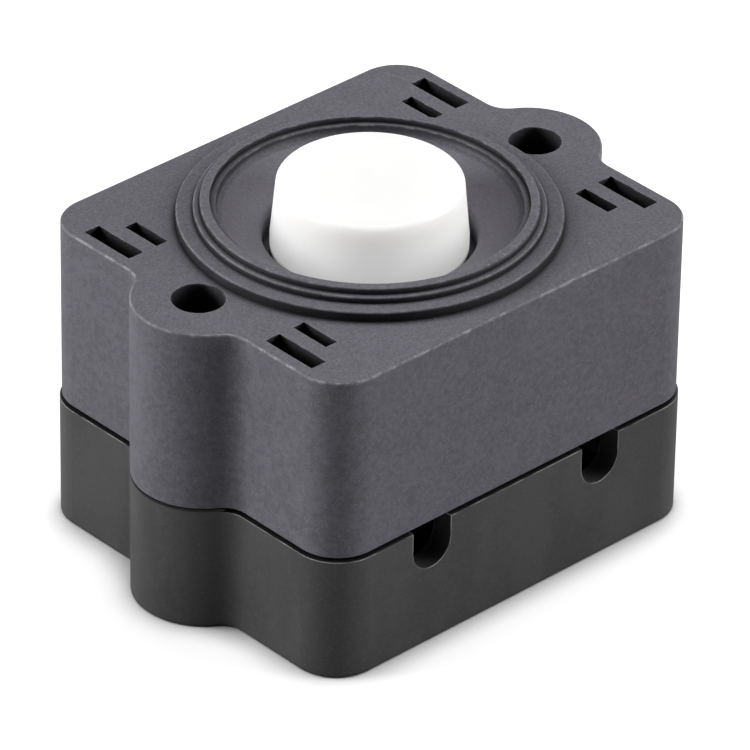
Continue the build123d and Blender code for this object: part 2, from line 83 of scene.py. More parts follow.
class NodeBench:
    """Lays out the nodes of one material and joins them.

    Attributes:
        MASK_SAMPLES: rays of each Bevel and Ambient Occlusion node.
        ROUGHNESS: how strong the finer layers of a noise are.
        CORE: share of a speck's radius that is solid.
        TURN: cosine of an edge's turn where its painted highlight starts, and where it is full.
        CORNER: openness of a corner where its painted highlight starts, and where it is full.
        CORNER_REACH: how far that openness is felt, in reaches of the painted highlight.
        THIN: share of solid behind an edge where its painted highlight starts, and where it is full.
        TILT: upward part of the normal where that painted highlight starts, and where it is full.
    """

    MASK_SAMPLES = 6
    ROUGHNESS = 0.55
    CORE = 0.4
    TURN: Span = (0.995, 0.94)
    CORNER: Span = (0.55, 0.85)
    CORNER_REACH = 1.5
    THIN: Span = (0.96, 0.7)
    TILT: Span = (0.999, 0.97)

    def __init__(self, name: str) -> None:
        """Start an empty material.

        Args:
            name: the material's name.
        """
        self.material = bpy.data.materials.new(name)
        self.material.use_nodes = True
        self.tree = self.material.node_tree
        self.tree.nodes.clear()
        self.shader = self.add("ShaderNodeBsdfPrincipled")
        output = self.add("ShaderNodeOutputMaterial")
        self.tree.links.new(self.shader.outputs["BSDF"], output.inputs["Surface"])
        self.coords = self.add("ShaderNodeTexCoord").outputs["Object"]

    def add(self, kind: str, **settings: object) -> bpy.types.Node:
        """Add one node.

        Args:
            kind: the node's type.
            settings: attributes to set on it.

        Returns:
            The new node.
        """
        node = self.tree.nodes.new(kind)
        for name, value in settings.items():
            setattr(node, name, value)
        return node

    def feed(self, socket: Socket, value: object) -> None:
        """Link a socket to another, or set it to a plain value."""
        if isinstance(value, Socket):
            self.tree.links.new(value, socket)
        else:
            socket.default_value = value

    def set_shader(self, **values: object) -> None:
        """Set or link sockets of the shader, with underscores for the spaces in their names."""
        for name, value in values.items():
            self.feed(self.shader.inputs[name.replace("_", " ")], value)

    def noise(self, size: float, detail: float = 2.0,
              stretch: tuple[float, float, float] = (1.0, 1.0, 1.0)) -> Socket:
        """Soft noise.

        Args:
            size: length of one blotch.
            detail: layers of finer noise.
            stretch: scale of the coordinates for each direction.

        Returns:
            The noise, about 0.5 on average.
        """
        mapping = self.add("ShaderNodeMapping")
        self.feed(mapping.inputs["Vector"], self.coords)
        self.feed(mapping.inputs["Scale"], stretch)
        node = self.add("ShaderNodeTexNoise")
        for name, value in (("Vector", mapping.outputs["Vector"]), ("Scale", 1.0 / size),
                            ("Detail", detail), ("Roughness", self.ROUGHNESS)):
            self.feed(node.inputs[name], value)
        return node.outputs["Fac"]

    def specks(self, size: float, share: float) -> Socket:
        """Sparse round specks.

        Args:
            size: distance between the cells that a speck may stand in.
            share: speck radius as a share of its cell.

        Returns:
            1 inside a speck and 0 outside.
        """
        cells = self.add("ShaderNodeTexVoronoi", feature="F1")
        self.feed(cells.inputs["Vector"], self.coords)
        self.feed(cells.inputs["Scale"], 1.0 / size)
        return self.spread(cells.outputs["Distance"], (share, share * self.CORE))

    def spread(self, value: Socket, span: Span, result: Span = WHOLE) -> Socket:
        """Map a span of values smoothly to another.

        Args:
            value: what is mapped.
            span: the two values that become the ends of the result.
            result: those ends.

        Returns:
            The mapped value, held within its two ends.
        """
        node = self.add("ShaderNodeMapRange", interpolation_type="SMOOTHSTEP")
        for name, item in (("Value", value), ("From Min", span[0]), ("From Max", span[1]),
                           ("To Min", result[0]), ("To Max", result[1])):
            self.feed(node.inputs[name], item)
        return node.outputs["Result"]

    def step(self, value: Socket, start: float, width: float, result: Span = WHOLE) -> Socket:
        """Go from one value to another across a narrow border.

        Args:
            value: the length that decides.
            start: where the first value ends.
            width: how far on the second one starts, less than 0 for the other way.
            result: the two values.

        Returns:
            The first value, the second, or one in between.
        """
        return self.spread(value, (start, start + width), result)

    def maths(self, operation: str, first: object, second: object = 0.0) -> Socket:
        """Work out one sum, such as ADD or MULTIPLY, of two values."""
        node = self.add("ShaderNodeMath", operation=operation)
        self.feed(node.inputs[0], first)
        self.feed(node.inputs[1], second)
        return node.outputs["Value"]

    def times(self, first: Socket, *others: object) -> Socket:
        """Multiply a value by others."""
        for other in others:
            first = self.maths("MULTIPLY", first, other)
        return first

    def tint(self, amount: object, first: object, second: object) -> Socket:
        """Mix two colours.

        Args:
            amount: 0 for the first colour, 1 for the second.
            first: a colour or a socket.
            second: a colour or a socket.

        Returns:
            The mixed colour.
        """
        node = self.add("ShaderNodeMix", data_type="RGBA")
        self.feed(node.inputs[0], amount)
        for socket, value in ((node.inputs[6], first), (node.inputs[7], second)):
            self.feed(socket, (*value, 1.0) if isinstance(value, tuple) else value)
        return node.outputs[2]

    def parts(self, vector: Socket) -> dict[str, Socket]:
        """Take a vector apart into its X, Y and Z."""
        node = self.add("ShaderNodeSeparateXYZ")
        self.feed(node.inputs["Vector"], vector)
        return {axis: node.outputs[axis] for axis in "XYZ"}

    def normal(self) -> Socket:
        """The surface's normal."""
        return self.add("ShaderNodeNewGeometry").outputs["Normal"]

    def measure(self, place: Place) -> Socket:
        """Height above the base, or distance from the plunger's axis.

        Args:
            place: which of the two.

        Returns:
            The length in metres.
        """
        parts = self.parts(self.coords)
        if place is Place.HEIGHT:
            return parts["Z"]
        squares = [self.times(parts[axis], parts[axis]) for axis in "XY"]
        return self.maths("SQRT", self.maths("ADD", *squares))

    def openness(self, reach: float, **settings: bool) -> Socket:
        """Share of the rays from a point that meet no wall near it.

        Args:
            reach: how near a wall must be.
            settings: only_local where only the piece's own walls count, and inside for rays
                that run into the solid.

        Returns:
            1 in the open and less between walls.
        """
        shade = self.add("ShaderNodeAmbientOcclusion", samples=self.MASK_SAMPLES, **settings)
        self.feed(shade.inputs["Distance"], reach)
        return shade.outputs["AO"]

    def open_air(self, reach: float, span: Span, own: bool = True) -> Socket:
        """Mask that falls between close walls.

        Args:
            reach: how near a neighbouring wall must be.
            span: openness that gives 0, and that gives 1.
            own: whether only walls of the same piece count.

        Returns:
            1 in the open and less between walls.
        """
        return self.spread(self.openness(reach, only_local=own), span)

    def facing_up(self, span: Span) -> Socket:
        """Mask of faces by how far they point up.

        Args:
            span: upward part of the normal that gives 0, and that gives 1.

        Returns:
            The mask, 1 on level faces where the span rises and on steep ones where it falls.
        """
        return self.spread(self.parts(self.normal())["Z"], span)

    def edges(self, radius: float) -> Socket:
        """Mask of the outer edges, for painted highlights along them.

        Args:
            radius: how far from an edge its painted highlight reaches.

        Returns:
            1 on an edge and 0 on a flat.
        """
        bevel = self.add("ShaderNodeBevel", samples=self.MASK_SAMPLES)
        self.feed(bevel.inputs["Radius"], radius)
        lean = self.add("ShaderNodeVectorMath", operation="DOT_PRODUCT")
        self.feed(lean.inputs[0], bevel.outputs["Normal"])
        self.feed(lean.inputs[1], self.normal())
        return self.times(self.spread(lean.outputs["Value"], self.TURN),
                          self.open_air(self.CORNER_REACH * radius, self.CORNER))

    def outline(self, reach: float) -> Socket:
        """Mask of the outer edges and their rounding, but not of the flats that face up.

        Args:
            reach: how far from an edge the mask falls off.

        Returns:
            1 on an edge and 0 on a flat.
        """
        behind = self.openness(reach, only_local=True, inside=True)
        return self.times(self.spread(behind, self.THIN), self.facing_up(self.TILT))

    def relief(self, height: Socket, strength: float, depth: float) -> None:
        """Raise the surface by a pattern.

        Args:
            height: the pattern.
            strength: how much of the slope shows.
            depth: height of the pattern.
        """
        bump = self.add("ShaderNodeBump")
        for name, value in (("Height", height), ("Strength", strength), ("Distance", depth)):
            self.feed(bump.inputs[name], value)
        self.set_shader(Normal=bump.outputs["Normal"])


@dataclass(frozen=True)
class HousingPlastic:
    """Fine matt grey moulding with a faint violet cast, painted edge highlights and painted black shade in
    deep places.
    """

    name: str = "housing_grey"
    colour: Colour = (0.122, 0.1175, 0.139)
    dark: Colour = (0.094, 0.0905, 0.1065)
    speck: Colour = (0.215, 0.208, 0.24)
    top_dark: Colour = (0.07, 0.0675, 0.0795)
    top_light: Colour = (0.165, 0.159, 0.188)
    # bright tone of the dust specks and of the painted highlights on the edges
    edge: Colour = (0.78, 0.77, 0.81)
    # near-black painted shade for recesses, the bore and the collar walls
    deep: Colour = (0.004, 0.004, 0.005)
    blotch: float = 0.0025
    mottle: float = 0.0006
    mottle_share: float = 0.65
    cloud_span: Span = (0.38, 0.62)
    grain: float = 0.00016
    grain_span: Span = (0.48, 0.72)
    grain_range: Span = (0.0, 0.5)
    grain_relief: float = 0.45
    grain_depth: float = 0.00003
    level: Span = (0.5, 0.8)
    steep: Span = (0.8, 0.5)
    grit: float = 0.00023
    grit_span: Span = (0.36, 0.64)
    grit_share: float = 0.45
    ring_inner: float = 0.0131
    ring_outer: float = 0.01485
    collar_outer: float = 0.0171
    border: float = 0.0002
    dish_painted_light: float = 0.35
    wall_shades: Span = (0.6, 0.35)
    collar_highlight: float = 0.4
    dust_spacing: float = 0.0011
    dust_size: float = 0.05
    dust_patch: float = 0.003
    dust_span: Span = (0.5, 0.6)
    dust_share: float = 0.6
    # reach and openness of the painted shade in recesses and the plunger's bore
    deep_reach: float = 0.003
    deep_span: Span = (0.58, 0.86)
    bore_reach: float = 0.0065
    bore_span: Span = (0.45, 0.66)
    # where the painted highlights along the upper edges lie, and their patches
    outline_highlight_reach: float = 0.000208
    highlight_height: float = 0.02
    highlight_border: float = 0.002
    edge_reach: float = 0.00013
    edge_share: float = 0.3
    highlight_patch: float = 0.0011
    highlight_patch_span: Span = (0.42, 0.66)
    highlight_patch_range: Span = (0.15, 0.9)
    matt: Span = (0.52, 0.64)
    polish: float = 0.15

    def moulded(self, bench: NodeBench, fine: Socket, radius: Socket) -> Socket:
        """Colour of the plastic as it left the mould, with painted light on the dish.

        Args:
            bench: where the nodes are laid.
            fine: the grain.
            radius: distance from the plunger's axis.

        Returns:
            The colour, with grit on the top and a lighter dish.
        """
        blotches = bench.times(bench.noise(self.blotch, detail=3.0), 1.0 - self.mottle_share)
        mottling = bench.times(bench.noise(self.mottle, detail=3.0), self.mottle_share)
        cloud = bench.maths("ADD", blotches, mottling)
        paint = bench.tint(bench.spread(cloud, self.cloud_span), self.dark, self.colour)
        grains = bench.spread(fine, self.grain_span, self.grain_range)
        paint = bench.tint(grains, paint, self.speck)
        level = bench.facing_up(self.level)
        grit = bench.spread(bench.noise(self.grit, detail=3.0), self.grit_span)
        top = bench.tint(grit, self.top_dark, self.top_light)
        paint = bench.tint(bench.times(level, self.grit_share), paint, top)
        # painted light: the level dish floor inside the collar is lightened
        dish = bench.step(radius, self.ring_inner, -self.border)
        return bench.tint(bench.times(level, dish, self.dish_painted_light), paint, self.speck)

    def collar_wall_shade(self, bench: NodeBench, radius: Socket) -> Socket:
        """How much painted shade the steep walls of the collar get.

        Args:
            bench: where the nodes are laid.
            radius: distance from the plunger's axis.

        Returns:
            The share of the deep tone in them.
        """
        outside = bench.step(radius, self.ring_inner, self.border)
        inside = bench.spread(radius, (self.collar_outer + self.border, self.collar_outer))
        shade = bench.step(radius, self.ring_outer, self.border, self.wall_shades)
        return bench.times(outside, inside, bench.facing_up(self.steep), shade)

    def edge_highlights(self, bench: NodeBench, clear: Socket, radius: Socket) -> Socket:
        """Mask of the painted highlights along the upper edges.

        Args:
            bench: where the nodes are laid.
            clear: 0 in deep places.
            radius: distance from the plunger's axis.

        Returns:
            The share of the bright tone, in patches along the upper edges.
        """
        outline_highlight = bench.times(bench.outline(self.outline_highlight_reach), clear)
        sharp = bench.times(bench.edges(self.edge_reach), self.edge_share)
        patches = bench.spread(bench.noise(self.highlight_patch, detail=3.0), self.highlight_patch_span,
                               self.highlight_patch_range)
        high = bench.step(bench.measure(Place.HEIGHT), self.highlight_height, self.highlight_border)
        collar_dimming = bench.step(radius, self.collar_outer, 2.0 * self.border, (self.collar_highlight, 1.0))
        return bench.times(bench.maths("MAXIMUM", outline_highlight, sharp), patches, high, collar_dimming)

    def make(self) -> bpy.types.Material:
        """Build the material."""
        bench = NodeBench(self.name)
        fine = bench.noise(self.grain, detail=3.0)
        radius = bench.measure(Place.RADIUS)
        paint = self.moulded(bench, fine, radius)
        dust = bench.times(bench.specks(self.dust_spacing, self.dust_size),
                           bench.spread(bench.noise(self.dust_patch), self.dust_span))
        paint = bench.tint(bench.times(dust, self.dust_share), paint, self.edge)
        # painted shade on the collar's steep walls
        paint = bench.tint(self.collar_wall_shade(bench, radius), paint, self.deep)
        # painted shade: near-black where walls close in, in recesses and the plunger's bore
        clear = bench.times(bench.open_air(self.deep_reach, self.deep_span),
                            bench.open_air(self.bore_reach, self.bore_span))
        # painted highlight: the bright tone in patches along the upper edges; the same mask makes them a
        # little glossier
        highlight_mask = self.edge_highlights(bench, clear, radius)
        paint = bench.tint(highlight_mask, paint, self.edge)
        paint = bench.tint(clear, self.deep, paint)
        rough = bench.maths("SUBTRACT", bench.spread(fine, MIDDLE, self.matt),
                            bench.times(highlight_mask, self.polish))
        bench.set_shader(Base_Color=paint, Roughness=rough, IOR=1.5, Specular_IOR_Level=0.35)
        bench.relief(fine, self.grain_relief, self.grain_depth)
        return bench.material


@dataclass(frozen=True)
class CoverPlastic:
    """Smooth charcoal moulding with soft flow marks, a painted highlight hairline on its upper rim and painted
    shade in its recesses and seam.
    """

    name: str = "cover_charcoal"
    colour: Colour = (0.061, 0.0594, 0.0617)
    dark: Colour = (0.048, 0.0467, 0.0486)
    speck: Colour = (0.105, 0.102, 0.107)
    # bright tone of the painted highlight hairline
    edge: Colour = (0.5, 0.5, 0.51)
    # near-black painted shade for recesses, notches and the seam
    deep: Colour = (0.004, 0.004, 0.004)
    flow_mark: float = 0.005
    flow_stretch: tuple[float, float, float] = (1.0, 1.0, 0.3)
    flow_share: float = 0.4
    flow_gloss: Span = (-0.02, 0.02)
    mottle: float = 0.0007
    grain: float = 0.00022
    grain_span: Span = (0.5, 0.74)
    grain_range: Span = (0.0, 0.45)
    grain_relief: float = 0.15
    grain_depth: float = 0.000015
    deep_reach: float = 0.003
    deep_span: Span = (0.62, 0.9)
    notch_reach: float = 0.0055
    notch_span: Span = (0.52, 0.75)
    seam_reach: float = 0.0007
    seam_span: Span = (0.45, 0.8)
    rim_top: float = 0.01206
    rim_border: float = 0.00003
    edge_reach: float = 0.00014
    highlight_patch: float = 0.0022
    highlight_patch_span: Span = (0.35, 0.65)
    highlight_patch_range: Span = (0.1, 1.0)
    satin: Span = (0.42, 0.5)

    def make(self) -> bpy.types.Material:
        """Build the material."""
        bench = NodeBench(self.name)
        flow = bench.spread(bench.noise(self.flow_mark, stretch=self.flow_stretch), MIDDLE)
        fine = bench.noise(self.grain, detail=3.0)
        mottling = bench.times(bench.noise(self.mottle, detail=3.0), 1.0 - self.flow_share)
        cloud = bench.maths("ADD", bench.times(flow, self.flow_share), mottling)
        paint = bench.tint(bench.spread(cloud, MIDDLE), self.dark, self.colour)
        grains = bench.spread(fine, self.grain_span, self.grain_range)
        paint = bench.tint(grains, paint, self.speck)
        # painted shade: near-black in recesses and notches, along the seam under the housing, and on all faces
        # above the rim top
        clear = bench.times(bench.open_air(self.deep_reach, self.deep_span),
                            bench.open_air(self.notch_reach, self.notch_span))
        below = bench.step(bench.measure(Place.HEIGHT), self.rim_top, -self.rim_border)
        seam = bench.times(bench.open_air(self.seam_reach, self.seam_span, own=False), below)
        paint = bench.tint(bench.times(clear, seam), self.deep, paint)
        # painted highlight: a bright hairline along the edges below the rim top, in patches
        patches = bench.spread(bench.noise(self.highlight_patch), self.highlight_patch_span, self.highlight_patch_range)
        highlight_mask = bench.times(bench.edges(self.edge_reach), clear, below, patches)
        paint = bench.tint(highlight_mask, paint, self.edge)
        rough = bench.maths("ADD", bench.spread(fine, MIDDLE, self.satin),
                            bench.spread(flow, WHOLE, self.flow_gloss))
        bench.set_shader(Base_Color=paint, Roughness=rough, IOR=1.5, Specular_IOR_Level=0.4)
        bench.relief(fine, self.grain_relief, self.grain_depth)
        return bench.material


@dataclass(frozen=True)
class PlungerPlastic:
    """Satin white moulding, translucent, with faint turned rings on its crown, a painted glow, darker painted
    sides and painted shade low down.
    """

    name: str = "plunger_white"
    colour: Colour = (0.71, 0.708, 0.702)
    shade: Colour = (0.69, 0.688, 0.682)
    # painted shade: darker copy of the colour for the sides
    side: Colour = (0.57, 0.568, 0.563)
    # painted shade below the rim
    deep: Colour = (0.05, 0.05, 0.05)
    cloud: float = 0.003
    cloud_span: Span = (0.35, 0.7)
    ring_pitch: float = 0.0006
    ring_share: float = 0.15
    ring_relief: float = 0.12
    ring_depth: float = 0.00002
    gate_radius: float = 0.0008
    gate_core: float = 0.8
    gate_shade: float = 0.3
    rim_height: float = 0.0273
    rim_border: float = 0.0008
    side_radius: float = 0.0072
    side_border: float = 0.0012
    # painted light: glow of the crown, and of the sides
    glow: Span = (0.26, 0.41)
    light_reach: float = 0.004
    grain: float = 0.0004
    pitting: float = 0.00035
    satin: Span = (0.44, 0.54)

    def make(self) -> bpy.types.Material:
        """Build the material, which glows a little so that its shadows stay soft."""
        bench = NodeBench(self.name)
        radius = bench.measure(Place.RADIUS)
        rings = bench.maths("SINE", bench.times(radius, FULL_TURN / self.ring_pitch))
        gate = bench.spread(radius, (self.gate_radius, self.gate_radius * self.gate_core))
        cloud = bench.spread(bench.noise(self.cloud, detail=3.0), self.cloud_span)
        paint = bench.tint(cloud, self.shade, self.colour)
        paint = bench.tint(bench.times(gate, self.gate_shade), paint, self.shade)
        # painted shade: the sides get a darker copy of the colour, and a stronger glow
        flank = bench.step(radius, self.side_radius, self.side_border)
        paint = bench.tint(flank, paint, self.side)
        # painted shade: dark below the rim, inside the housing, where the glow stops too
        lifted = bench.step(bench.measure(Place.HEIGHT), self.rim_height, self.rim_border)
        paint = bench.tint(lifted, self.deep, paint)
        # painted light: the plunger glows above the rim, more on its sides
        glow = bench.times(lifted, bench.spread(flank, WHOLE, self.glow))
        rough = bench.spread(bench.noise(self.grain), MIDDLE, self.satin)
        bench.set_shader(Base_Color=paint, Roughness=rough, IOR=1.48, Specular_IOR_Level=0.35,
                         Subsurface_Weight=0.9, Subsurface_Radius=(1.0, 0.97, 0.93),
                         Subsurface_Scale=self.light_reach,
                         Emission_Color=(1.0, 0.995, 0.985, 1.0), Emission_Strength=glow)
        turned = bench.maths("ADD", bench.times(rings, self.ring_share), bench.noise(self.pitting))
        bench.relief(bench.maths("SUBTRACT", turned, gate), self.ring_relief, self.ring_depth)
        return bench.material


@dataclass(frozen=True)
class PlainPlastic:
    """Moulded plastic of an inner piece, with soft blotches, a fine grain and painted highlights on its edges.
    """

    name: str
    colour: Colour
    roughness: float = 0.42
    roughness_steps: Span = (-0.05, 0.06)
    shade_share: float = 0.82
    edge_gain: float = 1.6
    edge_lift: float = 0.05
    edge_reach: float = 0.00012
    edge_share: float = 0.6
    blotch: float = 0.0025
    grain: float = 0.00025
    grain_relief: float = 0.2
    grain_depth: float = 0.00002

    def make(self) -> bpy.types.Material:
        """Build the material."""
        bench = NodeBench(self.name)
        shade = tuple(self.shade_share * part for part in self.colour)
        edge = tuple(min(1.0, self.edge_gain * part + self.edge_lift) for part in self.colour)
        fine = bench.noise(self.grain)
        cloud = bench.spread(bench.noise(self.blotch, detail=3.0), MIDDLE)
        paint = bench.tint(cloud, shade, self.colour)
        # painted highlight: a brighter tone along the edges
        highlight_mask = bench.times(bench.edges(self.edge_reach), self.edge_share)
        paint = bench.tint(highlight_mask, paint, edge)
        low, high = (self.roughness + step for step in self.roughness_steps)
        rough = bench.spread(fine, MIDDLE, (low, high))
        bench.set_shader(Base_Color=paint, Roughness=rough, IOR=1.49)
        bench.relief(fine, self.grain_relief, self.grain_depth)
        return bench.material


@dataclass(frozen=True)
class WorkedMetal:
    """Metal with fine drawing lines along one direction, a dull film and painted highlights on its edges."""

    name: str
    colour: Colour
    roughness: float = 0.3
    roughness_steps: Span = (-0.06, 0.08)
    line_size: float = 0.00012
    lines_along: tuple[float, float, float] = (0.06, 1.0, 1.0)
    line_relief: float = 0.15
    line_depth: float = 0.000012
    film: Colour = (0.35, 0.33, 0.3)
    film_patch: float = 0.002
    film_span: Span = (0.45, 0.75)
    film_amount: float = 0.25
    film_dulling: float = 0.4
    edge_gain: float = 1.25
    edge_reach: float = 0.0001
    edge_share: float = 0.7

    def make(self) -> bpy.types.Material:
        """Build the material."""
        bench = NodeBench(self.name)
        lines = bench.noise(self.line_size, stretch=self.lines_along)
        stain = bench.spread(bench.noise(self.film_patch, detail=4.0), self.film_span,
                             (0.0, self.film_amount))
        bright = tuple(min(1.0, part * self.edge_gain) for part in self.colour)
        paint = bench.tint(stain, self.colour, self.film)
        # painted highlight: a brighter tone along the edges
        highlight_mask = bench.times(bench.edges(self.edge_reach), self.edge_share)
        paint = bench.tint(highlight_mask, paint, bright)
        low, high = (self.roughness + step for step in self.roughness_steps)
        rough = bench.maths("ADD", bench.spread(lines, MIDDLE, (low, high)),
                            bench.times(stain, self.film_dulling))
        bench.set_shader(Base_Color=paint, Roughness=rough, Metallic=1.0)
        bench.relief(lines, self.line_relief, self.line_depth)
        return bench.material


def dress(node: str, material: bpy.types.Material) -> None:
    """Give a CAD node its material.

    Args:
        node: name of the CAD node.
        material: what it is made of.
    """
    mesh = frame["nodes"][node].data
    if not mesh.materials:
        mesh.materials.append(material)
    for index in range(len(mesh.materials)):
        mesh.materials[index] = material
    log.info("%s dressed in %s", node, material.name)


def link_new(name: str, data: bpy.types.ID) -> bpy.types.Object:
    """Add an object to the scene.

    Args:
        name: the object's name.
        data: its mesh, lamp or camera.

    Returns:
        The object, at the origin.
    """
    thing = bpy.data.objects.new(name, data)
    bpy.context.scene.collection.objects.link(thing)
    return thing


def stand_in(name: str, shape: bmesh.types.BMesh, material: bpy.types.Material, node: str) -> bpy.types.Object:
    """Make a finished shape the piece that stands for a CAD node.

    Args:
        name: the new piece's name.
        shape: its shape, in place; it is freed here.
        material: what it is made of.
        node: the CAD node that it replaces.

    Returns:
        The new piece.
    """
    bmesh.ops.recalc_face_normals(shape, faces=shape.faces)
    mesh = bpy.data.meshes.new(name)
    shape.to_mesh(mesh)
    shape.free()
    mesh.materials.append(material)
    piece = link_new(name, mesh)
    bodies = frame["record"]["behaviour"]["bodies"]
    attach(piece, next(body for body, nodes in bodies.items() if node in nodes))
    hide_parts(node)
    log.info("%s stands for %s with %d faces", name, node, len(mesh.polygons))
    return piece


def edges_of(parts: list) -> list[bmesh.types.BMEdge]:
    """Pick the edges out of a mixed list."""
    return [part for part in parts if isinstance(part, bmesh.types.BMEdge)]


def verts_of(parts: list) -> list[bmesh.types.BMVert]:
    """Pick the verts out of a mixed list."""
    return [part for part in parts if isinstance(part, bmesh.types.BMVert)]


def ring(shape: bmesh.types.BMesh, sides: int, radius: float, height: float
         ) -> list[bmesh.types.BMEdge]:
    """Lay an open, level polygon round the Z axis.

    Args:
        shape: the shape that gets it.
        sides: number of its edges.
        radius: distance of its corners from the axis.
        height: where it lies.

    Returns:
        Its edges.
    """
    place = Matrix.Translation((0.0, 0.0, height))
    verts = bmesh.ops.create_circle(shape, cap_ends=False, segments=sides, radius=radius,
                                    matrix=place)["verts"]
    return list({edge for vert in verts for edge in vert.link_edges})


def climb(shape: bmesh.types.BMesh, section: list, turns: float, rise: float, steps: int) -> list:
    """Sweep a section round the Z axis and up.

    Args:
        shape: the shape that it is part of.
        section: verts and edges that the sweep starts from.
        turns: how many turns it makes.
        rise: how far it climbs in each step.
        steps: number of steps.

    Returns:
        The verts and edges at its end.
    """
    return bmesh.ops.spin(shape, geom=section, cent=ORIGIN, axis=UP, dvec=(0.0, 0.0, rise),
                          angle=FULL_TURN * turns, steps=steps, use_merge=False)["geom_last"]


def cut_off(shape: bmesh.types.BMesh, height: float, upwards: float
            ) -> list[bmesh.types.BMEdge]:
    """Cut a shape off at one height.

    Args:
        shape: what is cut.
        height: where it is cut.
        upwards: 1 to drop what lies above, -1 to drop what lies below.

    Returns:
        The edges round the cut.
    """
    everything = shape.verts[:] + shape.edges[:] + shape.faces[:]
    cut = bmesh.ops.bisect_plane(shape, geom=everything, dist=CUT_SLACK, clear_outer=True,
                                 plane_co=(0.0, 0.0, height), plane_no=(0.0, 0.0, upwards))
    return edges_of(cut["geom_cut"])


@dataclass
class CrownedPlunger:
    """The plunger with the tighter shoulder that the photograph shows."""

    top_radius: float = 0.00825
    base_radius: float = 0.00876
    base_height: float = 0.0287
    packed_round: float = 0.0011
    shown_round: float = 0.0004
    crease: float = math.radians(35.0)
    weld: float = 1e-7
    slack: float = 1e-6

    def round_centre(self, top: float, size: float) -> tuple[float, float]:
        """Find the centre of a rounding between the crown and the tapered side.

        Args:
            top: height of the crown.
            size: radius of the rounding.

        Returns:
            Its distance from the axis and its height.
        """
        taper = (self.base_radius - self.top_radius) / (top - self.base_height)
        return self.top_radius + size * (taper - math.hypot(1.0, taper)), top - size

    def build(self, material: bpy.types.Material) -> None:
        """Make the plunger from a merged copy of its solid.

        Args:
            material: what it is made of.
        """
        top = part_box("plunger")[1][2]
        packed_out, packed_up = self.round_centre(top, self.packed_round)
        shown_out, shown_up = self.round_centre(top, self.shown_round)
        share = self.shown_round / self.packed_round
        solid = frame["nodes"]["plunger"]
        shape = bmesh.new()
        shape.from_mesh(solid.data)
        shape.transform(solid.matrix_world)
        bmesh.ops.remove_doubles(shape, verts=shape.verts, dist=self.weld)
        for vert in shape.verts:
            reach = vert.co.xy.length
            out, up = reach - packed_out, vert.co.z - packed_up
            if out > -self.slack and up > 0.0:
                vert.co.xy *= (shown_out + share * out) / reach
                vert.co.z = shown_up + share * up
        for face in shape.faces:
            face.smooth = True
        for edge in shape.edges:
            edge.smooth = edge.is_manifold and edge.calc_face_angle() < self.crease
        mesh = stand_in("plunger_crowned", shape, material, "plunger").data
        mesh.attributes.remove(mesh.attributes["custom_normal"])


@dataclass
class SwitchShell:
    """The two mouldings that show from outside, the white plunger and the bush that it runs in."""

    housing: HousingPlastic = HousingPlastic()
    cover: CoverPlastic = CoverPlastic()
    plunger: PlungerPlastic = PlungerPlastic()
    bush: PlainPlastic = PlainPlastic("bush_natural", (0.75, 0.74, 0.7), 0.38)

    def build(self) -> None:
        """Dress the mouldings."""
        dress("upper_housing", self.housing.make())
        dress("lower_cover", self.cover.make())
        CrownedPlunger().build(self.plunger.make())
        dress("guide_bush", self.bush.make())


@dataclass
class SwitchBlock:
    """The small switch inside: its block, lever, button, contacts and terminals."""

    case: PlainPlastic = PlainPlastic("block_black", (0.04, 0.04, 0.042))
    lid: PlainPlastic = PlainPlastic("block_red", (0.3, 0.04, 0.03))
    button: PlainPlastic = PlainPlastic("button_amber", (0.6, 0.35, 0.08), 0.3)
    blade: WorkedMetal = WorkedMetal("blade_bronze", (0.72, 0.5, 0.34), 0.3)
    silver: WorkedMetal = WorkedMetal("contact_silver", (0.88, 0.87, 0.85), 0.2)
    terminal: WorkedMetal = WorkedMetal("terminal_brass", (0.8, 0.66, 0.4), 0.32)

    def build(self, spring_steel: bpy.types.Material, plain_steel: bpy.types.Material,
              brass: bpy.types.Material) -> None:
        """Dress the switch block.

        Args:
            spring_steel: material of the lever.
            plain_steel: material of the pin and screws.
            brass: material of the blade's rivet.
        """
        silver, terminal = self.silver.make(), self.terminal.make()
        outfit = {
            "switch_case": self.case.make(),
            "switch_lid": self.lid.make(),
            "switch_button": self.button.make(),
            "switch_lever": spring_steel,
            "lever_pin": plain_steel,
            "block_screws": plain_steel,
            "contact_blade": self.blade.make(),
            "moving_contact": silver,
            "fixed_contact": silver,
            "common_terminal": terminal,
            "closed_terminal": terminal,
            "blade_rivet": brass,
        }
        for node, material in outfit.items():
            dress(node, material)


